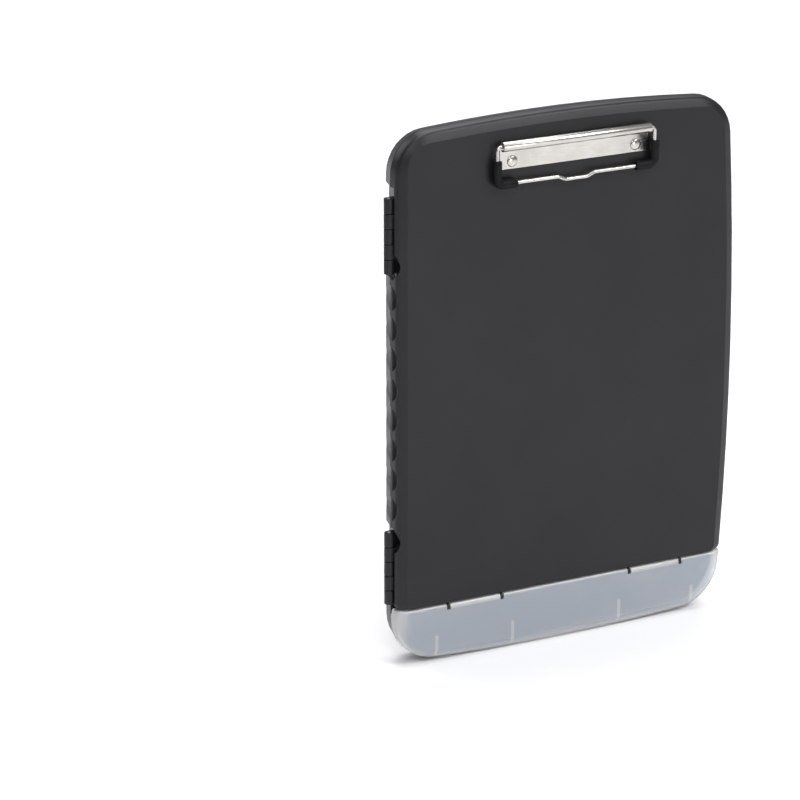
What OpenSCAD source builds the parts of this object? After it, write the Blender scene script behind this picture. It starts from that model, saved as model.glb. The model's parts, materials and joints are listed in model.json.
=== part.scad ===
// Storage clipboard box: a shallow hinged box that stands on its lower edge.
// X is the width, Y the depth (front at -Y), Z the height. The lid hinges on the
// left side, the pen compartment lies along the bottom behind its own cover.

/* [Body] */
// Width of the moulded body without the hinges, at its middle
body_w = 253.2; // [220:0.2:300]
// Height of the closed box
body_h = 365; // [320:1:420]
// Depth of the base tray
base_d = 16; // [14:0.5:30]
// Depth of the lid and of the pen cover
lid_d = 10.5; // [9:0.5:20]
// Wall thickness of the mouldings
wall = 2.2; // [1.6:0.1:2.6]
// Radius of the upper corners
top_r = 27; // [18:1:40]
// Radius of the lower corners
low_r = 30; // [20:1:36]
// Rise of the bowed top edge
top_bow = 3.5; // [2:0.5:14]
// Drop of the bowed bottom edge
low_bow = 3; // [1:0.5:6]
// Fall of the bowed free side towards its two ends
side_bow = 7.5; // [2:0.5:10]
// Inward draft of the tray's side walls
side_draft = 3; // [0:0.5:6]
// Inward draft of the tray's top wall
top_draft = 2.5; // [0:0.5:4]
// Rounding of the tray's back edge
back_r = 5; // [1:0.5:6]
// Width of the sloped border round the writing board
border_w = 7; // [5:0.5:14]
// Fall of the sloped border
border_fall = 2; // [1:0.25:3]
// Gap between the closed halves
part_gap = 0.4; // [0.3:0.05:0.8]

/* [Finger waves] */
// Distance from one wave to the next
wave_pitch = 20.4; // [16:0.2:21]
// Depth of a wave at the parting line
wave_depth = 2.6; // [1:0.1:3]
// Radius of a wave groove
wave_r = 15; // [10:0.5:20]
// Waves on each side of the side latch
side_waves = 4; // [1:1:4]

/* [Lid hinges] */
// Distance of the lower hinge above the lid's lower edge
hinge_rise = 2.9; // [2.6:0.1:12]
// Distance of the upper hinge below the top of the box
hinge_drop = 45.5; // [44:0.5:60]
// Length of one hinge
hinge_len = 50; // [45:1:60]
// Knuckles in one hinge
hinge_knuckles = 5; // [3:2:7]
// Radius of a knuckle
knuckle_r = 3.4; // [3:0.1:4.5]
// Distance of the hinge axis outside the wall
hinge_out = 1; // [0.8:0.1:2]
// Radius of the hinge pins
hinge_pin_r = 1.25; // [1:0.05:1.6]
// Width of the boss that carries a hinge
hinge_boss_w = 8; // [7:0.5:10]
// Clear strip of the hinge recess on the side of the waves
hinge_recess_in = 3; // [2:0.5:6]
// Clear strip of the hinge recess above the upper hinge
hinge_recess_up = 7; // [2:0.5:10]
// Clear strip of the hinge recess below the lower hinge
hinge_recess_low = 2; // [1:0.5:2.5]

/* [Latches] */
// Distance of the side latch below the middle of the box
latch_below = 4; // [0:1:8]
// Length of a latch recess
latch_len = 56; // [46:1:64]
// Depth of a latch recess
latch_depth = 3; // [2.6:0.1:3.4]
// Thickness of a snap tongue
tongue_t = 1.5; // [1.2:0.1:1.8]
// Reach of a snap tongue past the parting line
tongue_reach = 11.5; // [10:0.5:13]
// Length of the slot in a tongue
slot_len = 19; // [14:1:24]
// Width of the slot in a tongue
slot_w = 3.6; // [2.5:0.1:5]
// Distance from the parting line to the slot's middle
slot_y = 4.2; // [3.6:0.2:6]

/* [Pen compartment] */
// Height of the pen compartment
pen_h = 41; // [34:1:50]
// Thickness of the divider
divider_t = 2.2; // [1.6:0.1:3]
// Wall thickness of the pen cover
cover_wall = 1.8; // [1.4:0.1:2.4]
// Gap between the pen cover and the lid
cover_gap = 0.6; // [0.4:0.1:1]
// Distance of the middle of each cover hinge from the side of the body
cover_hinge_in = 57.7; // [50:0.1:65]
// Length of a cover hinge
cover_hinge_len = 42; // [30:1:46]
// Radius of the cover's hinge barrel
barrel_r = 3.2; // [2.8:0.1:3.6]
// Radius of the cover's hinge pins
cover_pin_r = 1.1; // [0.9:0.05:1.3]
// Thickness of a hinge ear
ear_t = 2; // [1.6:0.2:4]
// Thickness of the cover's ribs
rib_t = 1.2; // [0.8:0.1:2]

/* [Clip] */
// Length of the clip plate
clip_w = 109; // [80:1:130]
// Distance of the rolled edge's middle below the top of the box
clip_drop = 18; // [18:1:40]
// Outer radius of the rolled edge
roll_r = 3.3; // [2.4:0.1:4]
// Thickness of the clip's sheet
sheet_t = 0.9; // [0.7:0.1:1.2]
// Distance of the rivets below the middle of the rolled edge
plate_h = 11; // [10:0.5:16]
// Distance of each rivet from the end of the clip plate
rivet_in = 9; // [6:0.5:20]
// Radius of a rivet's head
rivet_r = 3.8; // [2.8:0.1:4]
// Radius of the bail wire
wire_r = 1.25; // [1:0.05:1.5]
// Length of the bail from its axis to the lower wire
bail_len = 24.5; // [22:0.5:30]
// Outer radius of the rubber grips
grip_r = 3.1; // [2.2:0.1:3.4]

/* [Keyhole] */
// Radius of the round entry
keyhole_r = 4.3; // [3.5:0.1:5.5]
// Width of the narrow slot
keyhole_slot = 4.6; // [3.5:0.1:6]
// Distance of the slot's upper end below the top edge
keyhole_drop = 16; // [14:0.5:30]
// Distance from the slot's end to the entry's middle
keyhole_rise = 7; // [5:0.5:12]

/* [Hidden] */
$fn = 64;

charcoal = [0.17, 0.17, 0.18];
frosted = [0.86, 0.88, 0.90, 0.6];
nickel = [0.78, 0.77, 0.75];
steel = [0.66, 0.67, 0.69];
rubber_black = [0.05, 0.05, 0.055];

eps = 0.01;        // thickness of a slice in a hull
over = 1;          // overrun of a cut past a face
run_gap = 0.35;    // gap between pieces that move past each other
pin_gap = 0.06;    // radial clearance of a pin in its bore
corner_steps = 8;  // facets in a corner
bow_steps = 12;    // facets in a bowed edge
side_steps = 8;    // facets in the bowed free side

half_w = body_w / 2;
lid_z = pen_h + cover_gap;
lower_r = min(low_r, pen_h - 7);  // the lower corners end below the pen compartment's top
latch_z = body_h / 2 - latch_below;
axis_out = roll_r + run_gap + 0.35;
clip_proud = axis_out + max(roll_r, grip_r);
shift_x = (hinge_out + knuckle_r) / 2;
shift_y = (lid_d + clip_proud - base_d) / 2;

// The free side falls back from half_w above and below the middle of the box.
function fall(z) = side_bow * pow(2 * z / body_h - 1, 2);
latch_x = half_w - fall(latch_z - latch_len / 2);

// One outline in X and Z: side walls, rounded corners, bowed upper, lower and free edges.
function bow_angle(w, r, bow) = atan(2 * bow / (w / 2 - r));
function bow_half(w, r, bow) = w / 2 - r + r * sin(bow_angle(w, r, bow));
function bow_rise(w, r, bow) = bow_half(w, r, bow) * tan(bow_angle(w, r, bow)) / 2;

function upper_half(w, z, r, bow) =
    let (a = bow_angle(w, r, bow), h = bow_half(w, r, bow), rise = bow_rise(w, r, bow))
    let (cz = z - rise - r * cos(a))
    concat(
        [for (i = [0 : corner_steps])
            let (t = i * (90 - a) / corner_steps) [w / 2 - r + r * cos(t), cz + r * sin(t)]],
        [for (i = [1 : bow_steps - 1])
            let (x = h * (1 - 2 * i / bow_steps)) [x, z - rise * x * x / (h * h)]],
        [for (i = [corner_steps : -1 : 0])
            let (t = i * (90 - a) / corner_steps) [-w / 2 + r - r * cos(t), cz + r * sin(t)]]);

function outline(w, z0, z1, r0, r1, bow0, bow1) =
    let (up = upper_half(w, z1, r1, bow1), low = [for (p = upper_half(w, -z0, r0, bow0)) [-p[0], -p[1]]])
    let (a = low[len(low) - 1], b = up[0])
    [for (p = concat(up, low, [for (i = [1 : side_steps - 1]) a + (b - a) * i / side_steps]))
        [p[0] - fall(p[1]) * max(p[0], 0) * 2 / w, p[1]]];

// The box stands on the two ends of the lower latch recess.
foot_z = bow_rise(body_w, lower_r, low_bow) * pow(latch_len / 2 / bow_half(body_w, lower_r, low_bow), 2);

// A thin slice of an outline, standing in X and Z from a depth y towards the depth mid.
module slice(y, mid, points) {
    translate([0, y > mid ? y : y + eps, 0]) rotate([90, 0, 0]) linear_extrude(eps) polygon(points);
}

// A box from its lower to its upper corner.
module span(low, high) {
    translate(low) cube(high - low);
}

// Rods along X, Y and Z from a starting point.
module rod_x(p, len, r) { translate(p) rotate([0, 90, 0]) cylinder(h = len, r = r); }
module rod_y(p, len, r) { translate(p) rotate([-90, 0, 0]) cylinder(h = len, r = r); }
module rod_z(p, len, r) { translate(p) cylinder(h = len, r = r); }

// A plate of thickness t along X with its outline in Y and Z, and one along Z in X and Y.
module plate_x(x, t, points) {
    translate([x, 0, 0]) rotate([90, 0, 90]) linear_extrude(t) polygon(points);
}
module plate_z(z, t, points) {
    translate([0, 0, z]) linear_extrude(t) polygon(points);
}

// Puts the origin in the middle of the box's foot.
module placed() {
    translate([shift_x, shift_y, -foot_z]) children();
}

// Depth and inset of the front half's section, from the parting line to the board.
front_section = [[-part_gap, 0], [-lid_d + 5, 0.3], [-lid_d + 3.6, 0.7], [-lid_d + 2.7, 1.3],
                 [-lid_d + border_fall, 2.4], [-lid_d + 0.3, border_w - 0.6], [-lid_d, border_w]];

// Depth, side inset, top inset and foot inset of the tray's section, from the parting line to its
// back.
back_section = concat([[0, 0, 0, 0]], [for (a = [0, 22.5, 45, 67.5, 90])
    let (round = back_r * (1 - cos(a)))
    [base_d - back_r + back_r * sin(a), side_draft + round, top_draft + round, round]]);

// The forms of the three mouldings, taken in by t for the hollow inside.
lid_corner_r = 4;
ridge_turn = 0.4;  // how much tighter the board's upper corners turn than the box's

module tray_form(t) {
    hull() for (s = back_section) {
        slice(s[0] == 0 ? (t == 0 ? 0 : -over) : s[0] - t, base_d / 2,
            outline(body_w - 2 * (s[1] + t), s[3] + t, body_h - s[2] - t,
                lower_r - t - s[3] / 2, top_r - t - s[3] / 2, low_bow, top_bow));
    }
}

module lid_form(t) {
    hull() for (s = front_section) {
        slice(s[0] == -part_gap ? (t == 0 ? s[0] : over) : s[0] + t, -lid_d / 2,
            outline(body_w - 2 * (s[1] + t), lid_z + t, body_h - s[1] - t,
                lid_corner_r, (top_r - t) * (1 - ridge_turn * s[1] / border_w), 0, top_bow));
    }
}

module cover_form(t) {
    hull() for (s = front_section) {
        slice(s[0] == -part_gap ? (t == 0 ? s[0] : over) : s[0] + t, -lid_d / 2,
            outline(body_w - 2 * (s[1] + t), s[1] + t, pen_h - t,
                lower_r - t - s[1], 1.5, low_bow, 0));
    }
}

// Lower ends of the two lid hinges.
hinge_z = [lid_z + hinge_rise, body_h - hinge_drop - hinge_len];

// Finger waves: grooves across the side walls, deepest at the parting line. As many as fit stand
// between the hinges, and side_waves on each side of the latch.
// side is -1 on the spine and 1 on the free side, way is 1 for the tray and -1 for the front.
wave_margin = 13;
spine_len = hinge_z[1] - hinge_z[0] - hinge_len;
spine_waves = floor(spine_len / wave_pitch);
spine_z = [for (i = [0 : spine_waves - 1])
    hinge_z[0] + hinge_len + spine_len / 2 + (i - (spine_waves - 1) / 2) * wave_pitch];
side_z = [for (s = [-1, 1]) for (i = [0 : side_waves - 1])
    latch_z + s * (latch_len / 2 + wave_margin + i * wave_pitch)];
tray_tilt = atan(wave_depth / base_d - side_draft / (base_d - back_r));
front_tilt = atan(0.85 * wave_depth / (lid_d - border_fall));

module waves(way, r) {
    tilt = way > 0 ? tray_tilt : front_tilt;
    for (side = [-1, 1]) for (z = side < 0 ? spine_z : side_z)
        translate([side * (half_w + wave_r - wave_depth) - (side > 0 ? fall(z) : 0), 0, z])
            rotate([0, 0, (way > 0 ? 0 : 180) - side * way * tilt])
                rod_y([0, -over, 0], base_d + lid_d, r);
}

// Lid hinges: the recess they stand in, and the knuckles of one half.
recess_ends = [[hinge_z[0] - hinge_recess_low, hinge_z[0] + hinge_len + hinge_recess_in],
               [hinge_z[1] - hinge_recess_in, hinge_z[1] + hinge_len + hinge_recess_up]];
recess_in = knuckle_r - hinge_out + run_gap;
hinge_x = -half_w - hinge_out;
segment = hinge_len / hinge_knuckles;

recess_y = -knuckle_r - run_gap - 0.3;

module hinge_recess() {
    lean = side_draft / (base_d - back_r);
    for (e = recess_ends)
        plate_z(e[0], e[1] - e[0],
            [[-half_w - over, recess_y], [-half_w + recess_in, recess_y], [-half_w + recess_in, 0],
             [-half_w + recess_in + lean * (base_d + over), base_d + over],
             [-half_w - over, base_d + over]]);
}

module hinge_blocks(width, y0, y1) {
    for (e = recess_ends)
        span([-half_w, y0, e[0] - wall], [-half_w + recess_in + width, y1, e[1] + wall]);
}

module knuckles(first, way) {
    for (z = hinge_z) for (i = [first : 2 : hinge_knuckles - 1]) {
        low = z + i * segment + run_gap / 2;
        high = z + (i + 1) * segment - run_gap / 2;
        rod_z([hinge_x, 0, low], high - low, knuckle_r);
        span([hinge_x, way > 0 ? 0 : -knuckle_r, low],
             [-half_w + recess_in + over, way > 0 ? knuckle_r : -part_gap, high]);
    }
}

module hinge_bores() {
    for (z = hinge_z) rod_z([hinge_x, 0, z - over], hinge_len + 2 * over, hinge_pin_r + pin_gap);
}

// Side latch: the lid's tongue lies in a recess of the tray, over the catch lug.
lug_len = slot_len - 2.5;
lug_t = 2.6;
lug_ramp = 1.2;
lug_h = latch_depth - tongue_t - run_gap;
tongue_len = latch_len - 4;

module side_recess() {
    span([latch_x - latch_depth, -over, latch_z - latch_len / 2],
         [half_w + over, base_d + over, latch_z + latch_len / 2]);
}

module side_block() {
    span([latch_x - latch_depth - wall, -over, latch_z - latch_len / 2 - wall],
         [half_w, base_d, latch_z + latch_len / 2 + wall]);
}

module side_lug() {
    x = latch_x - latch_depth;
    plate_z(latch_z - lug_len / 2, lug_len,
        [[x - over, slot_y - lug_t / 2], [x, slot_y - lug_t / 2],
         [x + lug_h, slot_y - lug_t / 2 + lug_ramp], [x + lug_h, slot_y + lug_t / 2 - 0.4],
         [x, slot_y + lug_t / 2], [x - over, slot_y + lug_t / 2]]);
}

// Outline of a snap tongue, from the moulding it grows from to its rounded tip.
tongue_r = 6;
tongue_root = 3;

module tongue(len, tip) {
    difference() {
        linear_extrude(tongue_t) {
            polygon(concat([[len / 2, -tongue_root], [len / 2, 0]],
                [for (a = [0 : 15 : 90])
                    [tip / 2 - tongue_r + tongue_r * cos(a), tongue_reach - tongue_r + tongue_r * sin(a)]],
                [for (a = [90 : 15 : 180])
                    [-tip / 2 + tongue_r + tongue_r * cos(a), tongue_reach - tongue_r + tongue_r * sin(a)]],
                [[-len / 2, 0], [-len / 2, -tongue_root]]));
        }
        span([-slot_len / 2, slot_y - slot_w / 2, -over],
             [slot_len / 2, slot_y + slot_w / 2, tongue_t + over]);
    }
}

// Lower latch: the cover's tongue lies in a recess under the tray.
module low_recess() {
    span([-latch_len / 2, -over, -over], [latch_len / 2, base_d + over, foot_z + latch_depth]);
}

module low_block() {
    span([-latch_len / 2 - wall, -over, 0], [latch_len / 2 + wall, base_d, foot_z + latch_depth + wall]);
}

module low_lug() {
    z = foot_z + latch_depth;
    plate_x(-lug_len / 2, lug_len,
        [[slot_y - lug_t / 2, z + over], [slot_y - lug_t / 2, z],
         [slot_y - lug_t / 2 + lug_ramp, z - lug_h], [slot_y + lug_t / 2 - 0.4, z - lug_h],
         [slot_y + lug_t / 2, z], [slot_y + lug_t / 2, z + over]]);
}

// Cover hinges: the axis runs inside the cover's rounded upper front edge.
cover_hinge_x = half_w - cover_hinge_in;
cover_y = -lid_d + barrel_r;
cover_z = pen_h - barrel_r;
ear_r = barrel_r - 0.2;
ear_back = 8;
divider_y = 0.6;
ear_x = [for (s = [-1, 1]) for (e = [-cover_hinge_len / 2, cover_hinge_len / 2 - ear_t])
    s * cover_hinge_x + e];
bracket_y = 2;
bracket_d = 7;
bracket_h = 5;

module ears() {
    for (x = ear_x) {
        rod_x([x, cover_y, cover_z], ear_t, ear_r);
        span([x, cover_y, cover_z - ear_r], [x + ear_t, ear_back, cover_z + ear_r]);
        span([x, divider_y, cover_z - ear_r], [x + ear_t, ear_back, pen_h + over]);
    }
}

module ear_slots() {
    r = ear_r + run_gap;
    for (x = ear_x) {
        rod_x([x - run_gap, cover_y, cover_z], ear_t + 2 * run_gap, r);
        span([x - run_gap, cover_y, cover_z - r], [x + ear_t + run_gap, over, pen_h + over]);
    }
}

module cover_bores() {
    for (s = [-1, 1])
        rod_x([s * cover_hinge_x - cover_hinge_len / 2 - over, cover_y, cover_z],
              cover_hinge_len + 2 * over, cover_pin_r + pin_gap);
}

// Keyhole in the tray's back.
slot_end_z = body_h - keyhole_drop - keyhole_slot / 2;
entry_z = slot_end_z - keyhole_rise;

module keyhole() {
    y = base_d - wall - over;
    rod_y([0, y, entry_z], wall + 2 * over, keyhole_r);
    rod_y([0, y, slot_end_z], wall + 2 * over, keyhole_slot / 2);
    span([-keyhole_slot / 2, y, entry_z], [keyhole_slot / 2, base_d + over, slot_end_z]);
}

// Clip: the bail's axis, and the rivets in the clip plate's leaf.
axis_y = -lid_d - axis_out;
axis_z = body_h - clip_drop;
rivet_x = clip_w / 2 - rivet_in;
rivet_z = axis_z - plate_h;
shank_r = 1.6;
head_h = 1.3;

// Gussets: thin corner ribs between a wall and a floor.
gusset_t = 1.6;
gusset_w = 6;
tray_gusset_z = [-20, 0, 20];
lid_gusset_x = [-88, 0, 88];
lid_gusset_z = [latch_z - 36, latch_z + 64, body_h - top_r - 5];

module tray_gussets() {
    x = latch_x - latch_depth - wall;
    for (z = tray_gusset_z)
        plate_z(latch_z + z - gusset_t / 2, gusset_t,
            [[x + 0.5, 1.5], [x + 0.5, base_d - 1], [x - gusset_w, base_d - 1],
             [x - gusset_w, base_d - wall - 1]]);
}

module lid_gussets() {
    floor_y = -lid_d + wall - 0.5;
    for (z = lid_gusset_z) {
        x = half_w - wall - fall(z);
        plate_z(z - gusset_t / 2, gusset_t,
            [[x + 0.5, -part_gap - 1.5], [x + 0.5, floor_y], [x - gusset_w - 4, floor_y],
             [x - gusset_w - 4, floor_y + 1.5]]);
    }
    z = body_h - wall - 0.8;
    for (gx = lid_gusset_x) {
        drop = bow_rise(body_w, top_r, top_bow) * pow(gx / bow_half(body_w, top_r, top_bow), 2);
        plate_x(gx - gusset_t / 2, gusset_t,
            [[-part_gap - 1.5, z - drop + 0.5], [floor_y, z - drop + 0.5],
             [floor_y, z - drop - gusset_w - 4], [floor_y + 1.5, z - drop - gusset_w - 4]]);
    }
}

module base_tray() {
    color(charcoal) placed() difference() {
        union() {
            difference() {
                tray_form(0);
                difference() {
                    tray_form(wall);
                    waves(1, wave_r + wall);
                    hinge_blocks(hinge_boss_w, -over, base_d);
                    side_block();
                    low_block();
                    span([-half_w, divider_y, pen_h], [half_w, base_d, pen_h + divider_t]);
                    for (s = [-1, 1])
                        span([s * cover_hinge_x - cover_hinge_len / 2, bracket_y, pen_h],
                             [s * cover_hinge_x + cover_hinge_len / 2, bracket_y + bracket_d,
                              pen_h + divider_t + bracket_h]);
                }
                waves(1, wave_r);
                hinge_recess();
                side_recess();
                low_recess();
                keyhole();
            }
            knuckles(0, 1);
            side_lug();
            low_lug();
            ears();
            intersection() {
                tray_form(wall / 2);
                tray_gussets();
            }
        }
        hinge_bores();
        cover_bores();
    }
}

// Scooped pockets in the lid's side, at the ends of the hinges next to the waves.
scoop_in = 2;
scoop_r = 9;
scoop_z = [hinge_z[0] + hinge_len - 6, hinge_z[1] + 6];

module hinge_scoops() {
    for (z = scoop_z)
        translate([-half_w + recess_in + scoop_in - scoop_r, -part_gap - 2, z]) sphere(r = scoop_r);
}

module front_lid() {
    color(charcoal) placed() difference() {
        union() {
            difference() {
                lid_form(0);
                difference() {
                    lid_form(wall);
                    waves(-1, wave_r + wall);
                    hinge_blocks(wall + scoop_in, -lid_d, over);
                }
                waves(-1, wave_r);
                hinge_recess();
                hinge_scoops();
            }
            knuckles(1, -1);
            translate([latch_x, -part_gap, latch_z]) rotate([0, -90, 0]) tongue(tongue_len, tongue_len);
            intersection() {
                lid_form(wall / 2);
                lid_gussets();
            }
        }
        hinge_bores();
        for (s = [-1, 1])
            rod_y([s * rivet_x, -lid_d - over, rivet_z], wall + 2 * over, shank_r + pin_gap);
    }
}

// Pen cover: ribs inside it, four of them with a fin that reaches into the tray.
tongue_taper = 16;
rib_out = cover_hinge_x + cover_hinge_len / 2 + 8;
rib_in = cover_hinge_x - cover_hinge_len / 2 - 7;
rib_mid = 17;
rib_x = [-rib_out, -rib_in, -rib_mid, rib_mid, rib_in, rib_out];
rib_front = -part_gap - 2;
fin_z = foot_z + latch_depth + wall + 2;
fin_h = 7;
fin_reach = 4;
swing_r = barrel_r * 1.9;

module pen_cover() {
    color(frosted) placed() difference() {
        union() {
            difference() {
                intersection() {
                    cover_form(0);
                    union() {
                        rod_x([-half_w, cover_y, cover_z], body_w, barrel_r);
                        span([-half_w, -lid_d, 0], [half_w, 0, cover_z]);
                        span([-half_w, cover_y, 0], [half_w, 0, pen_h]);
                    }
                }
                difference() {
                    cover_form(cover_wall);
                    for (s = [-1, 1])
                        rod_x([s * cover_hinge_x - cover_hinge_len / 2, cover_y, cover_z],
                              cover_hinge_len, barrel_r);
                    for (x = rib_x)
                        span([x - rib_t / 2, -lid_d, 0], [x + rib_t / 2, rib_front, pen_h]);
                }
                span([-half_w, cover_y + swing_r, cover_z - 0.5], [half_w, over, pen_h + over]);
            }
            intersection() {
                translate([0, -part_gap, foot_z]) tongue(tongue_len, tongue_len - tongue_taper);
                span([-half_w, -lid_d, foot_z], [half_w, base_d, pen_h]);
            }
            for (x = [rib_x[0], rib_x[1], rib_x[4], rib_x[5]])
                plate_x(x - rib_t / 2, rib_t,
                    [[rib_front - over, fin_z], [rib_front - over, fin_z + fin_h], [0, fin_z + fin_h],
                     [fin_reach, fin_z + fin_h - 2], [fin_reach, fin_z + 1.5], [0, fin_z]]);
        }
        ear_slots();
        cover_bores();
        span([-half_w, -lid_d - over, -over], [half_w, base_d, foot_z]);
    }
}

// Hinge pins.
module lid_hinge_pin(z) {
    color(steel) placed() rod_z([hinge_x, 0, z], hinge_len, hinge_pin_r);
}
module lid_hinge_pin_lower() { lid_hinge_pin(hinge_z[0]); }
module lid_hinge_pin_upper() { lid_hinge_pin(hinge_z[1]); }

module cover_hinge_pin(side) {
    color(steel) placed()
        rod_x([side * cover_hinge_x - cover_hinge_len / 2, cover_y, cover_z], cover_hinge_len, cover_pin_r);
}
module cover_hinge_pin_left() { cover_hinge_pin(-1); }
module cover_hinge_pin_right() { cover_hinge_pin(1); }

// Clip plate: one sheet. Its leaf lies on the board and carries the rivets, and its rolled top
// holds the bail's ends. The roll stops short of the leaf behind it.
leaf_edge = 1.2;
curl_end = 1.2;

module clip_plate() {
    back = -lid_d - sheet_t;
    color(nickel) placed() difference() {
        union() {
            rod_x([-clip_w / 2, axis_y, axis_z], clip_w, roll_r);
            span([-clip_w / 2, back, rivet_z - rivet_r - leaf_edge], [clip_w / 2, -lid_d, axis_z]);
        }
        rod_x([-clip_w / 2 - over, axis_y, axis_z], clip_w + 2 * over, roll_r - sheet_t);
        span([-clip_w / 2 - over, axis_y + curl_end, axis_z - roll_r - over],
            [clip_w / 2 + over, back, axis_z - sheet_t]);
        for (s = [-1, 1]) rod_y([s * rivet_x, back - over / 2, rivet_z], sheet_t + over, shank_r + pin_gap);
    }
}

// Bail: one wire, its two ends turned into the rolled edge.
leg_x = clip_w / 2 + run_gap + grip_r;
bend_r = 2.6;
corner_r = 4;
stub = 14;
dip = 2.5;
dip_x = 14;
dip_run = 6;
sleeve_x = 14;
sleeve_z = 15.5;
low_z = axis_z - bail_len;
bend_steps = 5;
wire_sides = 16;

// Points of a bend round a centre, from angle a0 to a1.
function arc(x, z, r, a0, a1) =
    [for (i = [0 : bend_steps]) let (a = a0 + (a1 - a0) * i / bend_steps) [x + r * cos(a), z + r * sin(a)]];

// The bail's right half in X and Z, from the end inside the roll to the middle of the lower wire.
half_path = concat([[clip_w / 2 - stub, axis_z]],
    arc(leg_x - bend_r, axis_z - bend_r, bend_r, 90, 0),
    arc(leg_x - corner_r, low_z + corner_r, corner_r, 0, -90),
    [[dip_x, low_z], [dip_x - dip_run, low_z - dip]]);
bail_path = concat(half_path, [for (i = [len(half_path) - 1 : -1 : 0]) [-half_path[i][0], half_path[i][1]]]);
grip_path = concat([[leg_x, low_z + sleeve_z]],
    arc(leg_x - corner_r, low_z + corner_r, corner_r, 0, -90), [[leg_x - sleeve_x, low_z]]);

// A round rod of radius r swept along a path in the plane of the bail.
function unit(v) = v / norm(v);
function ring(path, i, r) =
    let (n = len(path), a = unit(path[min(i + 1, n - 1)] - path[min(i, n - 2)]),
         b = unit(path[max(i, 1)] - path[max(i - 1, 0)]), t = unit(a + b), k = r / (t * a))
    [for (j = [0 : wire_sides - 1]) let (u = j * 360 / wire_sides)
        [path[i][0] + k * cos(u) * t[1], axis_y + r * sin(u), path[i][1] - k * cos(u) * t[0]]];

module sweep(path, r) {
    n = len(path);
    m = wire_sides;
    polyhedron(
        [for (i = [0 : n - 1]) for (p = ring(path, i, r)) p],
        concat([[for (j = [0 : m - 1]) j]],
            [for (i = [0 : n - 2]) for (j = [0 : m - 1])
                [i * m + j, (i + 1) * m + j, (i + 1) * m + (j + 1) % m, i * m + (j + 1) % m]],
            [[for (j = [m - 1 : -1 : 0]) (n - 1) * m + j]]));
}

module clip_bail() {
    color(nickel) placed() sweep(bail_path, wire_r);
}

module grip() {
    difference() {
        sweep(grip_path, grip_r);
        sweep(concat([grip_path[0] + [0, over]], grip_path,
                     [grip_path[len(grip_path) - 1] - [over, 0]]), wire_r);
    }
}

module clip_grip_right() { color(rubber_black) placed() grip(); }
module clip_grip_left() { color(rubber_black) placed() mirror([1, 0, 0]) grip(); }

// Rivets: domed head on the plate, shank through the lid, upset tail on the washer.
washer_t = 0.8;
washer_r = 4.6;
tail_h = 0.8;

module clip_rivets() {
    color(nickel) placed() for (s = [-1, 1])
        translate([s * rivet_x, -lid_d, rivet_z]) rotate([-90, 0, 0]) rotate_extrude()
            polygon(concat([[0, -sheet_t - head_h]],
                [for (a = [15 : 15 : 90]) [rivet_r * sin(a), -sheet_t - head_h * cos(a)]],
                [[shank_r, -sheet_t], [shank_r, wall + washer_t], [shank_r + 0.9, wall + washer_t],
                 [shank_r + 0.6, wall + washer_t + tail_h], [0, wall + washer_t + tail_h]]));
}

module rivet_washers() {
    color(steel) placed() for (s = [-1, 1]) difference() {
        rod_y([s * rivet_x, -lid_d + wall, rivet_z], washer_t, washer_r);
        rod_y([s * rivet_x, -lid_d + wall - over, rivet_z], washer_t + 2 * over, shank_r + pin_gap);
    }
}

base_tray();
front_lid();
pen_cover();
lid_hinge_pin_upper();
lid_hinge_pin_lower();
cover_hinge_pin_left();
cover_hinge_pin_right();
clip_plate();
clip_bail();
clip_grip_left();
clip_grip_right();
clip_rivets();
rivet_washers();
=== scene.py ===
import json
import math
import bmesh
import bpy
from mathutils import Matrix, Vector
from mathutils.bvhtree import BVHTree

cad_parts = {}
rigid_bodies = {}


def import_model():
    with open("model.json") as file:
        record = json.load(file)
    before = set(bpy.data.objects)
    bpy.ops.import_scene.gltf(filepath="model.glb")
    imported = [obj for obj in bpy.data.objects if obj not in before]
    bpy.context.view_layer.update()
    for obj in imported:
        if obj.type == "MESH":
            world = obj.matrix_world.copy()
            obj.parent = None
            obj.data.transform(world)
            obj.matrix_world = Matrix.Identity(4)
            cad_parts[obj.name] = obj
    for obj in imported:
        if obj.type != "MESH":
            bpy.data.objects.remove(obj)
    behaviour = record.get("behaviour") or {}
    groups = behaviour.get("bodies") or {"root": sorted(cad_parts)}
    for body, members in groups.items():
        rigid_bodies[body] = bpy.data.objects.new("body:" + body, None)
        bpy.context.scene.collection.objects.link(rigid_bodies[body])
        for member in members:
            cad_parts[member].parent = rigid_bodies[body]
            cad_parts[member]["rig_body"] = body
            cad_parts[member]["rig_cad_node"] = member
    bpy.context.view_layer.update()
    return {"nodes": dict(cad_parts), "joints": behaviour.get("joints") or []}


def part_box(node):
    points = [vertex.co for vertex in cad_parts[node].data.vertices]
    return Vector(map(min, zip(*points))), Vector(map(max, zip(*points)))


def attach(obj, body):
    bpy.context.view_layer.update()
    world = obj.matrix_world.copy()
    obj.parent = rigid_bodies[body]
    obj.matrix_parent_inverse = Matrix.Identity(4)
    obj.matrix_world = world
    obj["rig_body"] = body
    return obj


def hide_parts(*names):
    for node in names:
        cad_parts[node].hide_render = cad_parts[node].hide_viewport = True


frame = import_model()
print("frame loaded:", len(frame["nodes"]), "nodes")

jointPlace = {j["name"]: Vector(j["pos_m"]) for j in frame["joints"]}
mm = 0.001
middleX = (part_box("clip_plate")[0].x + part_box("clip_plate")[1].x) / 2


# small helpers for the piece in hand

def clearSelection():
    if bpy.context.object and bpy.context.object.mode != "OBJECT":
        bpy.ops.object.mode_set(mode="OBJECT")
    bpy.ops.object.select_all(action="DESELECT")


def takePiece(piece):
    clearSelection()
    piece.select_set(True)
    bpy.context.view_layer.objects.active = piece


def openForEditing(kind="VERT"):
    bpy.ops.object.mode_set(mode="EDIT")
    bpy.ops.mesh.select_mode(type=kind)


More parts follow.
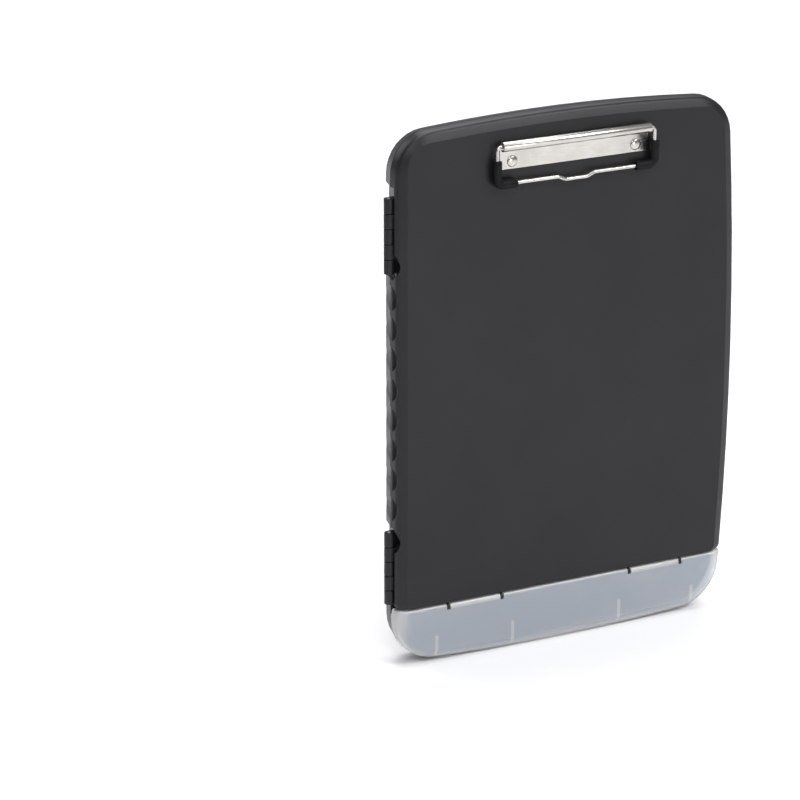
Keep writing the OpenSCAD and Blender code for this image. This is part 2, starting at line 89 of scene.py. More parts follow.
def pickVerts(test):
    # selects the vertices for which the test is true, and what lies between them
    mesh = bmesh.from_edit_mesh(bpy.context.object.data)
    for face in mesh.faces:
        face.select_set(False)
    for edge in mesh.edges:
        edge.select_set(False)
    for vert in mesh.verts:
        vert.select_set(bool(test(vert.co)))
    mesh.select_flush_mode()
    bmesh.update_edit_mesh(bpy.context.object.data)


def pickFaces(test):
    # selects the faces for which the test is true
    mesh = bmesh.from_edit_mesh(bpy.context.object.data)
    for face in mesh.faces:
        face.select_set(False)
    for face in mesh.faces:
        if test(face):
            face.select_set(True)
    bmesh.update_edit_mesh(bpy.context.object.data)


def pickOpenEdges():
    # selects the edges of open borders
    mesh = bmesh.from_edit_mesh(bpy.context.object.data)
    for face in mesh.faces:
        face.select_set(False)
    for edge in mesh.edges:
        edge.select_set(False)
    for edge in mesh.edges:
        if len(edge.link_faces) < 2:
            edge.select_set(True)
    bmesh.update_edit_mesh(bpy.context.object.data)


def pushOut(x=0.0, y=0.0, z=0.0):
    bpy.ops.mesh.extrude_region_move(TRANSFORM_OT_translate={"value": (x, y, z)})


def turnOut(center, axle, degrees, steps):
    # the spin operator counts its angle the other way round
    bpy.ops.mesh.spin(steps=steps, angle=-math.radians(degrees), center=center, axis=axle)


def outwardNormals():
    bpy.ops.mesh.select_all(action="SELECT")
    bpy.ops.mesh.normals_make_consistent(inside=False)


def applyModifiers(piece):
    takePiece(piece)
    for modifier in list(piece.modifiers):
        bpy.ops.object.modifier_apply(modifier=modifier.name)


def softenEdges(piece, width, angle, segments=2):
    bevel = piece.modifiers.new("soft edges", "BEVEL")
    bevel.width = width
    bevel.segments = segments
    bevel.limit_method = "ANGLE"
    bevel.angle_limit = math.radians(angle)
    bevel.use_clamp_overlap = False
    applyModifiers(piece)


def keepInBox(piece, node):
    # no point of the piece stands outside its node's box
    low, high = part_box(node)
    for vert in piece.data.vertices:
        vert.co = Vector([min(max(vert.co[i], low[i]), high[i]) for i in range(3)])


def finishPiece(piece, name, body, material, replaced, smoothAngle=38, flatFaces=False):
    # the place goes into the mesh, then the piece is shaded, painted and joined to its body
    takePiece(piece)
    bpy.ops.object.transform_apply(location=True, rotation=True, scale=True)
    bpy.ops.object.shade_smooth_by_angle(angle=math.radians(smoothAngle))
    if flatFaces:
        weighted = piece.modifiers.new("flat faces stay flat", "WEIGHTED_NORMAL")
        weighted.weight = 100
        weighted.keep_sharp = True
        applyModifiers(piece)
    piece.name = name
    piece.data.name = name
    piece.data.materials.clear()
    piece.data.materials.append(material)
    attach(piece, body)
    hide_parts(replaced)
    return piece


# finishes

def newFinish(name):
    finish = bpy.data.materials.new(name)
    finish.use_nodes = True
    nodes = finish.node_tree.nodes
    shader = nodes["Principled BSDF"]
    place = nodes.new("ShaderNodeTexCoord")
    return finish, nodes, finish.node_tree.links, shader, place.outputs["Object"]


def noiseOn(nodes, links, place, scale, detail=3.0, stretch=(1.0, 1.0, 1.0)):
    mapping = nodes.new("ShaderNodeMapping")
    mapping.inputs["Scale"].default_value = stretch
    links.new(place, mapping.inputs["Vector"])
    noise = nodes.new("ShaderNodeTexNoise")
    noise.inputs["Scale"].default_value = scale
    noise.inputs["Detail"].default_value = detail
    links.new(mapping.outputs["Vector"], noise.inputs["Vector"])
    return noise.outputs["Fac"]


def rampOn(nodes, links, value, low, high, lowColor, highColor):
    ramp = nodes.new("ShaderNodeValToRGB")
    ramp.color_ramp.elements[0].position = low
    ramp.color_ramp.elements[1].position = high
    ramp.color_ramp.elements[0].color = (*lowColor, 1)
    ramp.color_ramp.elements[1].color = (*highColor, 1)
    links.new(value, ramp.inputs["Fac"])
    return ramp.outputs["Color"]


def twoTones(nodes, links, cloud, dark, light):
    # nearly all of the noise lies between these two marks
    return rampOn(nodes, links, cloud, 0.3, 0.7, dark, light)


def rangeOn(nodes, links, value, low, high):
    spread = nodes.new("ShaderNodeMapRange")
    spread.inputs["To Min"].default_value = low
    spread.inputs["To Max"].default_value = high
    links.new(value, spread.inputs["Value"])
    return spread.outputs["Result"]


def bumpOn(nodes, links, value, distance, strength, before=None):
    bump = nodes.new("ShaderNodeBump")
    bump.inputs["Distance"].default_value = distance
    bump.inputs["Strength"].default_value = strength
    links.new(value, bump.inputs["Height"])
    if before:
        links.new(before, bump.inputs["Normal"])
    return bump.outputs["Normal"]


charcoalLook = {
    "dark": (0.0095, 0.0095, 0.0105), "light": (0.0125, 0.0125, 0.014),
    "grainScale": 2600.0, "grainDepth": 0.05 * mm, "grainStrength": 0.35,
    "cloudScale": 18.0, "roughLow": 0.33, "roughHigh": 0.43, "specular": 0.27,
    "rippleScale": 55.0, "rippleDepth": 0.2 * mm, "rippleStrength": 0.06,
}


def charcoalPlastic():
    look = charcoalLook
    finish, nodes, links, shader, place = newFinish("charcoalPlastic")
    cloud = noiseOn(nodes, links, place, look["cloudScale"], 4)
    grain = noiseOn(nodes, links, place, look["grainScale"], 2)
    links.new(twoTones(nodes, links, cloud, look["dark"], look["light"]), shader.inputs["Base Color"])
    links.new(rangeOn(nodes, links, grain, look["roughLow"], look["roughHigh"]), shader.inputs["Roughness"])
    shader.inputs["Specular IOR Level"].default_value = look["specular"]
    ripple = noiseOn(nodes, links, place, look["rippleScale"], 2)
    waved = bumpOn(nodes, links, ripple, look["rippleDepth"], look["rippleStrength"])
    links.new(bumpOn(nodes, links, grain, look["grainDepth"], look["grainStrength"], waved), shader.inputs["Normal"])
    return finish


def fadeOn(nodes, links, value, start, end):
    # 0 at start, 1 at end
    fade = nodes.new("ShaderNodeMapRange")
    fade.interpolation_type = "SMOOTHSTEP"
    fade.inputs["From Min"].default_value = start
    fade.inputs["From Max"].default_value = end
    links.new(value, fade.inputs["Value"])
    return fade.outputs["Result"]


def mathOn(nodes, links, kind, first, second):
    step = nodes.new("ShaderNodeMath")
    step.operation = kind
    for place, value in enumerate((first, second)):
        if isinstance(value, float):
            step.inputs[place].default_value = value
        else:
            links.new(value, step.inputs[place])
    return step.outputs["Value"]


frostedLook = {
    "middle": (0.66, 0.71, 0.79), "rim": (0.95, 0.95, 0.95), "cloudDepth": 0.8,
    "transmission": 0.66, "refraction": 1.49, "roughLow": 0.2, "roughHigh": 0.28,
    "grainScale": 1900.0, "grainDepth": 0.03 * mm, "grainStrength": 0.3, "cloudScale": 26.0,
    "endRim": 11 * mm, "footRim": 8 * mm, "topRim": 3 * mm, "wallStart": 1.6 * mm,
    "hingeStrip": 4.2 * mm, "stripBlend": 0.5 * mm, "landBlend": 0.6 * mm,
    "ribOut": 8 * mm, "ribIn": 7 * mm, "ribHalf": 0.8 * mm, "ribShare": 0.5, "ribBlend": 1.5 * mm,
}


def thickParts(nodes, links, x, z, low, high):
    # the hinge lands along the top, and the ribs' roots in the lower half
    look = frostedLook
    parts = []
    stripZ = high.z - look["hingeStrip"]
    onTop = fadeOn(nodes, links, z, stripZ, stripZ + look["stripBlend"])
    ribTop = low.z + (high.z - low.z) * look["ribShare"]
    nearFoot = fadeOn(nodes, links, z, ribTop, ribTop - look["ribBlend"])
    for pin in ("cover_hinge_pin_left", "cover_hinge_pin_right"):
        pinLow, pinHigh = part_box(pin)
        outward = 1 if pinLow.x > middleX else -1
        half, middle = (pinHigh.x - pinLow.x) / 2, (pinHigh.x + pinLow.x) / 2
        away = mathOn(nodes, links, "ABSOLUTE", mathOn(nodes, links, "SUBTRACT", x, middle), 0.0)
        land = fadeOn(nodes, links, away, half, half - look["landBlend"])
        parts.append(mathOn(nodes, links, "MULTIPLY", land, onTop))
        for place in (middle + outward * (half + look["ribOut"]), middle - outward * (half + look["ribIn"])):
            away = mathOn(nodes, links, "ABSOLUTE", mathOn(nodes, links, "SUBTRACT", x, place), 0.0)
            rib = fadeOn(nodes, links, away, 2 * look["ribHalf"], look["ribHalf"])
            parts.append(mathOn(nodes, links, "MULTIPLY", rib, nearFoot))
    return parts


def frostedPlastic():
    # the walls, ribs and rims are milkier than the thin front
    look = frostedLook
    low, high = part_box("pen_cover")
    finish, nodes, links, shader, place = newFinish("frostedPlastic")
    split = nodes.new("ShaderNodeSeparateXYZ")
    links.new(place, split.inputs["Vector"])
    x, y, z = (split.outputs[name] for name in "XYZ")
    fades = [fadeOn(nodes, links, x, low.x + look["endRim"], low.x),
             fadeOn(nodes, links, x, high.x - look["endRim"], high.x),
             fadeOn(nodes, links, z, low.z + look["footRim"], low.z),
             fadeOn(nodes, links, z, high.z - look["topRim"], high.z - look["topRim"] / 3),
             fadeOn(nodes, links, y, low.y + look["wallStart"], low.y + 2 * look["wallStart"])]
    milk = fades[0]
    for fade in fades[1:] + thickParts(nodes, links, x, z, low, high):
        milk = mathOn(nodes, links, "MAXIMUM", milk, fade)
    cloud = noiseOn(nodes, links, place, look["cloudScale"], 3, (0.5, 1, 1))
    haze = mathOn(nodes, links, "MULTIPLY", mathOn(nodes, links, "SUBTRACT", cloud, 0.5), look["cloudDepth"])
    milk = mathOn(nodes, links, "ADD", milk, haze)
    grain = noiseOn(nodes, links, place, look["grainScale"], 2)
    links.new(rampOn(nodes, links, milk, 0.0, 1.0, look["middle"], look["rim"]), shader.inputs["Base Color"])
    links.new(rangeOn(nodes, links, grain, look["roughLow"], look["roughHigh"]), shader.inputs["Roughness"])
    links.new(bumpOn(nodes, links, grain, look["grainDepth"], look["grainStrength"]), shader.inputs["Normal"])
    shader.inputs["Transmission Weight"].default_value = look["transmission"]
    shader.inputs["IOR"].default_value = look["refraction"]
    return finish


metalLooks = {
    "brightNickel": {"dark": (0.47, 0.45, 0.425), "light": (0.56, 0.54, 0.51),
                     "roughLow": 0.2, "roughHigh": 0.32, "stretch": (0.03, 1, 1)},
    "plainSteel": {"dark": (0.42, 0.42, 0.43), "light": (0.52, 0.52, 0.53),
                   "roughLow": 0.28, "roughHigh": 0.42, "stretch": (1, 1, 0.05)},
}
brushLook = {"scale": 900.0, "depth": 0.01 * mm, "strength": 0.12, "cloudScale": 60.0}


def plainMetal(name):
    # fine brush marks, drawn out along the metal
    look, brushed = metalLooks[name], brushLook
    finish, nodes, links, shader, place = newFinish(name)
    shader.inputs["Metallic"].default_value = 1.0
    brush = noiseOn(nodes, links, place, brushed["scale"], 3, look["stretch"])
    cloud = noiseOn(nodes, links, place, brushed["cloudScale"], 3)
    links.new(twoTones(nodes, links, cloud, look["dark"], look["light"]), shader.inputs["Base Color"])
    links.new(rangeOn(nodes, links, brush, look["roughLow"], look["roughHigh"]), shader.inputs["Roughness"])
    links.new(bumpOn(nodes, links, brush, brushed["depth"], brushed["strength"]), shader.inputs["Normal"])
    return finish


rubberLook = {
    "dark": (0.004, 0.004, 0.0045), "light": (0.008, 0.008, 0.009), "cloudScale": 120.0,
    "grainScale": 1500.0, "grainDepth": 0.04 * mm, "grainStrength": 0.3,
    "roughLow": 0.46, "roughHigh": 0.62, "specular": 0.12,
}


def blackRubber():
    look = rubberLook
    finish, nodes, links, shader, place = newFinish("blackRubber")
    grain = noiseOn(nodes, links, place, look["grainScale"], 3)
    cloud = noiseOn(nodes, links, place, look["cloudScale"], 2)
    links.new(twoTones(nodes, links, cloud, look["dark"], look["light"]), shader.inputs["Base Color"])
    links.new(rangeOn(nodes, links, grain, look["roughLow"], look["roughHigh"]), shader.inputs["Roughness"])
    shader.inputs["Specular IOR Level"].default_value = look["specular"]
    links.new(bumpOn(nodes, links, grain, look["grainDepth"], look["grainStrength"]), shader.inputs["Normal"])
    return finish


charcoal = charcoalPlastic()
frosted = frostedPlastic()
nickel = plainMetal("brightNickel")
steel = plainMetal("plainSteel")
rubber = blackRubber()
print("finishes made")


# the three mouldings, their edges rounded as a mould's are

mouldings = {
    "base_tray": {"name": "trayMoulding", "body": "base", "slot": "charcoal", "finish": charcoal,
                  "edge": 0.3 * mm, "angle": 34, "ridge": 0},
    "front_lid": {"name": "lidMoulding", "body": "lid", "slot": "charcoal", "finish": charcoal,
                  "edge": 0.3 * mm, "angle": 34, "ridge": 2.2 * mm},
    "pen_cover": {"name": "penCoverMoulding", "body": "cover", "slot": "frosted", "finish": frosted,
                  "edge": 0.2 * mm, "angle": 34, "ridge": 0.8 * mm},
}
copyValues = {
    "mergeGap": 0.002 * mm, "flatAngle": 0.5, "ridgeSteps": 4,
    "strayShare": 0.3,  # of an edge's width: how far off the moulding its points may lie
    "stripWidth": 22 * mm,  # of the strips that the large faces are cut in
}


def roundRidge(width):
    # rounds the border of the flat front face, but not the edges of its openings
    mesh = bmesh.from_edit_mesh(bpy.context.object.data)
    front = max(mesh.faces, key=lambda face: face.calc_area() if face.normal.y < -0.999 else 0)
    frontY = front.calc_center_median().y
    pickVerts(lambda co: False)
    bpy.ops.mesh.select_mode(type="EDGE")
    mesh = bmesh.from_edit_mesh(bpy.context.object.data)
    for edge in mesh.edges:
        level = all(abs(vert.co.y - frontY) < 0.01 * mm for vert in edge.verts)
        slopes = any(face.normal.y > -0.99 for face in edge.link_faces)
        holes = any(abs(face.normal.y) < 0.5 for face in edge.link_faces)
        edge.select_set(level and slopes and not holes)
    bmesh.update_edit_mesh(bpy.context.object.data)
    bpy.ops.mesh.bevel(offset=width, segments=copyValues["ridgeSteps"], affect="EDGES", clamp_overlap=True)


def settlePoints(piece, source, outside, inside):
    # a point that the bevel threw off the moulding comes back to its face
    tree = BVHTree.FromPolygons([vert.co.copy() for vert in source.vertices],
                                [tuple(face.vertices) for face in source.polygons])
    for vert in piece.data.vertices:
        near, normal, _, gap = tree.find_nearest(vert.co)
        if gap > (outside if (vert.co - near).dot(normal) > 0 else inside):
            vert.co = near


def cutFaces(node):
    # cuts both ways, so that each flat face is small enough to be filled cleanly
    low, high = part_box(node)
    openForEditing()
    for way in (0, 2):
        steps = math.ceil((high[way] - low[way]) / copyValues["stripWidth"])
        for step in range(1, steps):
            place, normal = Vector((0, 0, 0)), Vector((0, 0, 0))
            place[way] = low[way] + (high[way] - low[way]) * step / steps
            normal[way] = 1
            bpy.ops.mesh.select_all(action="SELECT")
            bpy.ops.mesh.bisect(plane_co=place, plane_no=normal)
    bpy.ops.object.mode_set(mode="OBJECT")


def roundedCopy(node, values):
    v, edge = copyValues, values["edge"]
    source = frame["nodes"][node]
    piece = source.copy()
    piece.data = source.data.copy()
    piece.parent = None
    # the copy is a piece of its own, so the node's marks go
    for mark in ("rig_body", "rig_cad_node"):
        if mark in piece:
            del piece[mark]
    bpy.context.scene.collection.objects.link(piece)
    takePiece(piece)
    openForEditing()
    bpy.ops.mesh.select_all(action="SELECT")
    bpy.ops.mesh.remove_doubles(threshold=v["mergeGap"])
    bpy.ops.mesh.dissolve_limited(angle_limit=math.radians(v["flatAngle"]))
    if values["ridge"]:
        roundRidge(values["ridge"])
    bpy.ops.object.mode_set(mode="OBJECT")
    softenEdges(piece, edge, values["angle"])
    settlePoints(piece, source.data, v["strayShare"] * edge, max(edge, v["strayShare"] * values["ridge"]))
    keepInBox(piece, node)
    cutFaces(node)
    return finishPiece(piece, values["name"], values["body"], values["finish"], node,
                       flatFaces=True)


for node, values in mouldings.items():
    made = roundedCopy(node, values)
    print("moulding", made.name, len(made.data.polygons), "faces")


# clip plate: one strip of sheet, rolled at the top, then given its thickness

clipValues = {
    "sheet": 0.9 * mm, "rollRadius": 3.3 * mm, "headRise": 1.3 * mm, "leafEdge": 1.2 * mm,
    "headRadius": 3.8 * mm, "shankRadius": 1.6 * mm, "rivetIn": 9 * mm,
    "curlAngle": 295, "curlSteps": 26, "bendHeight": 1.2 * mm,
    "cornerRadius": 1.5 * mm, "cornerSteps": 5, "edge": 0.18 * mm,
}
plateLow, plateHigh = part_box("clip_plate")
boardY = plateHigh.y
axis = jointPlace["clip_bail_hinge"]
rivetZ = plateLow.z + clipValues["leafEdge"] + clipValues["headRadius"]
rivetX = (plateHigh.x - plateLow.x) / 2 - clipValues["rivetIn"]


def bendClipPlate():
    v = clipValues
    half = v["sheet"] / 2
    leafTop = axis.z - v["bendHeight"]
    leafHeight = leafTop - plateLow.z
    clearSelection()
    bpy.ops.mesh.primitive_plane_add(size=1, location=(middleX, boardY - half, plateLow.z + leafHeight / 2),
                                     rotation=(math.radians(90), 0, 0))
    plate = bpy.context.object
    plate.scale = (plateHigh.x - plateLow.x, leafHeight, 1)
    bpy.ops.object.transform_apply(location=True, rotation=True, scale=True)
    openForEditing()
    # the leaf's two lower corners are cut round
    pickVerts(lambda co: co.z < plateLow.z + half)
    bpy.ops.mesh.bevel(offset=v["cornerRadius"], segments=v["cornerSteps"], affect="VERTICES")
    pickVerts(lambda co: co.z > leafTop - half)
    bpy.ops.mesh.select_mode(type="EDGE")
    pushOut(y=(axis.y + v["rollRadius"] - half) - (boardY - half), z=v["bendHeight"])
    turnOut(axis, (1, 0, 0), v["curlAngle"], v["curlSteps"])
    outwardNormals()
    bpy.ops.object.mode_set(mode="OBJECT")
    sheet = plate.modifiers.new("sheet", "SOLIDIFY")
    sheet.thickness = v["sheet"]
    sheet.offset = 0
    sheet.use_even_offset = True
    applyModifiers(plate)
    openForEditing()
    outwardNormals()
    bpy.ops.object.mode_set(mode="OBJECT")
    softenEdges(plate, v["edge"], angle=40)
    keepInBox(plate, "clip_plate")
    return finishPiece(plate, "clipPlateSheet", "lid", nickel, "clip_plate", smoothAngle=30)


bendClipPlate()
print("clip plate bent")


# bail: a ring of the wire drawn along the bail's right half, then mirrored

bailValues = {
    "wire": 1.25 * mm, "ring": 20, "bendRadius": 2.6 * mm, "cornerRadius": 4 * mm, "bendSteps": 8,
    "stub": 14 * mm, "gripRadius": 3.1 * mm,
    "dip": 2.5 * mm, "dipHalf": 14 * mm, "dipRun": 6 * mm, "dipEasing": 3 * mm, "slantShare": 0.75,
    "wireEdge": 0.25 * mm, "sleeveUp": 15.5 * mm, "sleeveIn": 14 * mm, "sleeveEdge": 0.45 * mm,
}
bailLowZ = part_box("clip_grip_right")[0].z + bailValues["gripRadius"]
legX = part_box("clip_grip_right")[1].x - bailValues["gripRadius"]


def wireRing(radius, place, turn):
    clearSelection()
    bpy.ops.mesh.primitive_circle_add(vertices=bailValues["ring"], radius=radius, location=place, rotation=turn)
    ring = bpy.context.object
    bpy.ops.object.transform_apply(location=True, rotation=True, scale=True)
    openForEditing("EDGE")
    bpy.ops.mesh.select_all(action="SELECT")
    return ring


def turnRing(centerX, centerZ, degrees):
    turnOut((centerX, axis.y, centerZ), (0, 1, 0), degrees, bailValues["bendSteps"])


def pickedMiddle():
    # the middle of the selected points
    picked = [vert.co for vert in bmesh.from_edit_mesh(bpy.context.object.data).verts if vert.select]
    middle = Vector((0, 0, 0))
    for co in picked:
        middle += co / len(picked)
    return middle


def mirrorBail(bail):
    bpy.context.scene.cursor.location = (middleX, 0, 0)
    takePiece(bail)
    bpy.ops.object.origin_set(type="ORIGIN_CURSOR")
    mirror = bail.modifiers.new("other half", "MIRROR")
    mirror.use_clip = True
    mirror.merge_threshold = 0.01 * mm
    applyModifiers(bail)


def drawBail():
    v = bailValues
    stubX = plateHigh.x - v["stub"]
    bail = wireRing(v["wire"], (stubX, axis.y, axis.z), (0, math.radians(90), 0))
    bendX = legX - v["bendRadius"]
    pushOut(x=bendX - stubX)
    turnRing(bendX, axis.z - v["bendRadius"], 90)
    cornerZ = bailLowZ + v["cornerRadius"]
    pushOut(z=cornerZ - (axis.z - v["bendRadius"]))
    turnRing(legX - v["cornerRadius"], cornerZ, 90)
    # the shallow dip in the middle, with its two slanting sides
    slant = math.degrees(math.atan2(v["dip"], v["dipRun"]))
    easing = v["dipEasing"]
    straightX = middleX + v["dipHalf"]
    pushOut(x=straightX - (legX - v["cornerRadius"]))
    turnRing(straightX, bailLowZ - easing, -slant)
    pushOut(x=-v["dipRun"] * v["slantShare"], z=-v["dip"] * v["slantShare"])
    low, turn = pickedMiddle(), math.radians(slant)
    turnRing(low.x - easing * math.sin(turn), low.z + easing * math.cos(turn), slant)
    pushOut(x=middleX - pickedMiddle().x)
    bpy.ops.object.mode_set(mode="OBJECT")
    mirrorBail(bail)
    openForEditing()
    pickOpenEdges()
    bpy.ops.mesh.edge_face_add()
    outwardNormals()
    bpy.ops.object.mode_set(mode="OBJECT")
    softenEdges(bail, v["wireEdge"], angle=60)
    return finishPiece(bail, "bailWire", "bail", nickel, "clip_bail", smoothAngle=40)


def drawGrip(side):
    v = bailValues
    topZ = bailLowZ + v["sleeveUp"]
    cornerZ = bailLowZ + v["cornerRadius"]
    sideX = middleX + side * (legX - middleX)
    cornerX = sideX - side * v["cornerRadius"]
    grip = wireRing(v["gripRadius"], (sideX, axis.y, topZ), (0, 0, 0))
    pushOut(z=cornerZ - topZ)
    turnRing(cornerX, cornerZ, side * 90)
    pushOut(x=-side * (v["sleeveIn"] - v["cornerRadius"]))
    outwardNormals()
    bpy.ops.object.mode_set(mode="OBJECT")
    wall = grip.modifiers.new("rubber wall", "SOLIDIFY")
    wall.thickness = v["gripRadius"] - v["wire"]
    wall.offset = -1
    applyModifiers(grip)
    softenEdges(grip, v["sleeveEdge"], angle=60, segments=3)
    sideName = "Right" if side > 0 else "Left"
    return finishPiece(grip, "rubberGrip" + sideName, "bail", rubber, "clip_grip_" + sideName.lower(),
                       smoothAngle=40)


drawBail()
for side in (-1, 1):
    drawGrip(side)
print("bail and grips drawn")


# rivets and washers

rivetValues = {"washer": 0.8 * mm, "washerRadius": 4.6 * mm, "tail": 0.8 * mm, "tailSpread": 0.9 * mm,
               "holeGap": 0.06 * mm, "rivetEdge": 0.15 * mm, "washerEdge": 0.12 * mm}
washerLow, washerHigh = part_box("rivet_washers")


def scaleRing(factor, center):
    bpy.ops.transform.resize(value=(factor, factor, factor), center_override=center)


def turnedRivet():
    # a dome cut from a sphere, its rim drawn in to the shank and back through the lid
    v, w = clipValues, rivetValues
    faceY = boardY - v["sheet"]
    center = (middleX, faceY, rivetZ)
    clearSelection()
    bpy.ops.mesh.primitive_uv_sphere_add(segments=40, ring_count=20, radius=v["headRadius"], location=center,
                                         rotation=(math.radians(90), 0, 0))
    rivet = bpy.context.object
    bpy.ops.object.transform_apply(location=True, rotation=True, scale=True)
    openForEditing()
    bpy.ops.mesh.select_all(action="SELECT")
    bpy.ops.mesh.bisect(plane_co=center, plane_no=(0, 1, 0), clear_outer=True)
    bpy.ops.mesh.select_all(action="SELECT")
    bpy.ops.transform.resize(value=(1, v["headRise"] / v["headRadius"], 1), center_override=center)
    pickOpenEdges()
    shank = v["shankRadius"] / v["headRadius"]
    bpy.ops.mesh.extrude_region_move()
    scaleRing(shank, center)
    washerBack = washerHigh.y
    pushOut(y=washerBack - faceY)
    tailSpread = (v["shankRadius"] + w["tailSpread"]) / v["shankRadius"]
    tailCenter = (middleX, washerBack, rivetZ)
    bpy.ops.mesh.extrude_region_move()
    scaleRing(tailSpread, tailCenter)
    pushOut(y=w["tail"])
    bpy.ops.mesh.edge_face_add()
    outwardNormals()
    bpy.ops.object.mode_set(mode="OBJECT")
    softenEdges(rivet, w["rivetEdge"], angle=50)
    return rivet


def turnedWasher():
    v, w = clipValues, rivetValues
    middleY = (washerLow.y + washerHigh.y) / 2
    center = Vector((middleX, middleY, rivetZ))
    clearSelection()
    bpy.ops.mesh.primitive_cylinder_add(vertices=48, radius=w["washerRadius"], depth=w["washer"],
                                        location=center, rotation=(math.radians(90), 0, 0))
    washer = bpy.context.object
    bpy.ops.object.transform_apply(location=True, rotation=True, scale=True)
    openForEditing("FACE")
    pickFaces(lambda face: abs(face.normal.y) > 0.9)
    bpy.ops.mesh.inset(thickness=w["washerRadius"] - v["shankRadius"] - w["holeGap"])
    bpy.ops.mesh.bridge_edge_loops()
    bpy.ops.object.mode_set(mode="OBJECT")
    softenEdges(washer, w["washerEdge"], angle=50)
    return washer


def copiesAt(pattern, offsets, name, body, material, replaced):
    for place, offset in offsets.items():
        piece = pattern.copy()
        piece.data = pattern.data.copy()
        bpy.context.scene.collection.objects.link(piece)
        piece.location = offset
        finishPiece(piece, name + place, body, material, replaced)
    bpy.data.objects.remove(pattern)


sides = {"Left": (-rivetX, 0, 0), "Right": (rivetX, 0, 0)}
copiesAt(turnedRivet(), sides, "rivet", "lid", nickel, "clip_rivets")
copiesAt(turnedWasher(), sides, "rivetWasher", "lid", steel, "rivet_washers")
print("rivets and washers turned")


# hinge pins: drawn rods with broken ends

pinInset = 0.3  # of the diameter, the ring round each pushed-in end
pinNodes = {
    "lid_hinge_pin_upper": ("lidHingePinUpper", 0.25 * mm),
    "lid_hinge_pin_lower": ("lidHingePinLower", 0.25 * mm),
    "cover_hinge_pin_left": ("coverHingePinLeft", 0.2 * mm),
    "cover_hinge_pin_right": ("coverHingePinRight", 0.2 * mm),
}


def drawnPin(node, name, chamfer):
    low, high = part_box(node)
    size = high - low
    alongZ = size.z > size.x
    clearSelection()
    bpy.ops.mesh.primitive_cylinder_add(vertices=32, radius=size.y / 2, depth=max(size.x, size.z),
                                        location=(low + high) / 2,
                                        rotation=(0, 0 if alongZ else math.radians(90), 0))
    pin = bpy.context.object
    bpy.ops.object.transform_apply(location=True, rotation=True, scale=True)
    openForEditing("FACE")
    isEnd = (lambda face: abs(face.normal.z) > 0.9) if alongZ else (lambda face: abs(face.normal.x) > 0.9)
    pickFaces(isEnd)
    bpy.ops.mesh.inset(thickness=size.y * pinInset)
    bpy.ops.mesh.extrude_region_shrink_fatten(TRANSFORM_OT_shrink_fatten={"value": -chamfer})
    bpy.ops.object.mode_set(mode="OBJECT")
    softenEdges(pin, chamfer, angle=50)
    return finishPiece(pin, name, "base", steel, node)


for node, (name, chamfer) in pinNodes.items():
    drawnPin(node, name, chamfer)
print("hinge pins made")


# floor, light and camera

stageValues = {
    "floorSize": 12.0, "floorColor": (0.95, 0.95, 0.955), "floorShade": 0.99, "floorCloud": 2.0,
    "floorRoughness": 0.7, "worldTop": (0.95, 0.96, 1.0), "worldLow": (0.55, 0.55, 0.57),
    "fadeFrom": -0.3, "fadeTo": 0.8, "worldStrength": 0.36,
}
objectAim = (0, 0, 0.18)
lamps = {
    "keyLight": {"place": (-1.0, -1.7, 1.8), "aim": objectAim, "size": 1.0, "power": 17},
    "ridgeLight": {"place": (0.25, -2.3, 0.35), "aim": objectAim, "size": 0.5, "power": 6},
    "fillLight": {"place": (1.1, -1.6, 1.95), "aim": objectAim, "size": 1.1, "power": 34},
    "topLight": {"place": (0.0, 0.1, 2.2), "aim": objectAim, "size": 1.6, "power": 26},
    "backLight": {"place": (-0.9, 1.8, 1.3), "aim": objectAim, "size": 1.2, "power": 8},
    "floorLight": {"place": (1.0, 1.9, 2.4), "aim": (0.95, 1.7, 0), "size": 2.0, "power": 34},
}
cameraValues = {
    "azimuth": -30.0, "elevation": 18.5, "distance": 2.336, "lens": 160,
    "around": (0, 0, 0.184), "aim": (-0.118, 0, 0.184),
}


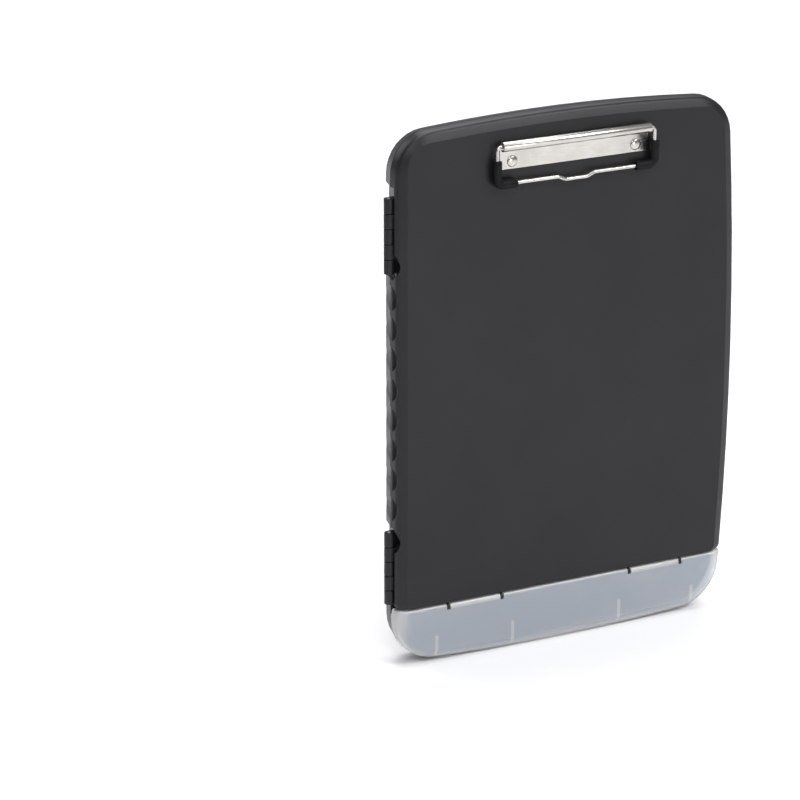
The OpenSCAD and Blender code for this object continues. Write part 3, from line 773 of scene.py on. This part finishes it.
def layFloor():
    v = stageValues
    clearSelection()
    bpy.ops.mesh.primitive_plane_add(size=v["floorSize"])
    floor = bpy.context.object
    floor.name = "paleFloor"
    finish, nodes, links, shader, place = newFinish("paleFloor")
    cloud = noiseOn(nodes, links, place, v["floorCloud"], 2)
    shade = tuple(part * v["floorShade"] for part in v["floorColor"])
    links.new(twoTones(nodes, links, cloud, shade, v["floorColor"]), shader.inputs["Base Color"])
    shader.inputs["Roughness"].default_value = v["floorRoughness"]
    floor.data.materials.append(finish)


def hangLamps():
    for name, v in lamps.items():
        light = bpy.data.lights.new(name, "AREA")
        light.shape = "DISK"
        light.size = v["size"]
        light.energy = v["power"]
        lamp = bpy.data.objects.new(name, light)
        bpy.context.scene.collection.objects.link(lamp)
        lamp.location = v["place"]
        lamp.rotation_euler = (Vector(v["aim"]) - lamp.location).to_track_quat("-Z", "Y").to_euler()


def paintWorld():
    v = stageValues
    world = bpy.data.worlds.new("paleRoom")
    bpy.context.scene.world = world
    world.use_nodes = True
    nodes, links = world.node_tree.nodes, world.node_tree.links
    place = nodes.new("ShaderNodeTexCoord")
    split = nodes.new("ShaderNodeSeparateXYZ")
    links.new(place.outputs["Generated"], split.inputs["Vector"])
    spread = nodes.new("ShaderNodeMapRange")
    spread.inputs["From Min"].default_value = v["fadeFrom"]
    spread.inputs["From Max"].default_value = v["fadeTo"]
    links.new(split.outputs["Z"], spread.inputs["Value"])
    sky = rampOn(nodes, links, spread.outputs["Result"], 0, 1, v["worldLow"], v["worldTop"])
    links.new(sky, nodes["Background"].inputs["Color"])
    nodes["Background"].inputs["Strength"].default_value = v["worldStrength"]


def setCamera():
    v = cameraValues
    turn, rise = math.radians(v["azimuth"]), math.radians(v["elevation"])
    back = Vector((math.sin(turn) * math.cos(rise), -math.cos(turn) * math.cos(rise), math.sin(rise)))
    place = Vector(v["around"]) + back * v["distance"]
    camera = bpy.data.objects.new("camera", bpy.data.cameras.new("camera"))
    bpy.context.scene.collection.objects.link(camera)
    camera.data.lens = v["lens"]
    camera.location = place
    camera.rotation_euler = (Vector(v["aim"]) - place).to_track_quat("-Z", "Y").to_euler()
    bpy.context.scene.camera = camera


layFloor()
hangLamps()
paintWorld()
setCamera()
bpy.context.scene.view_settings.view_transform = "Standard"
print("stage set")
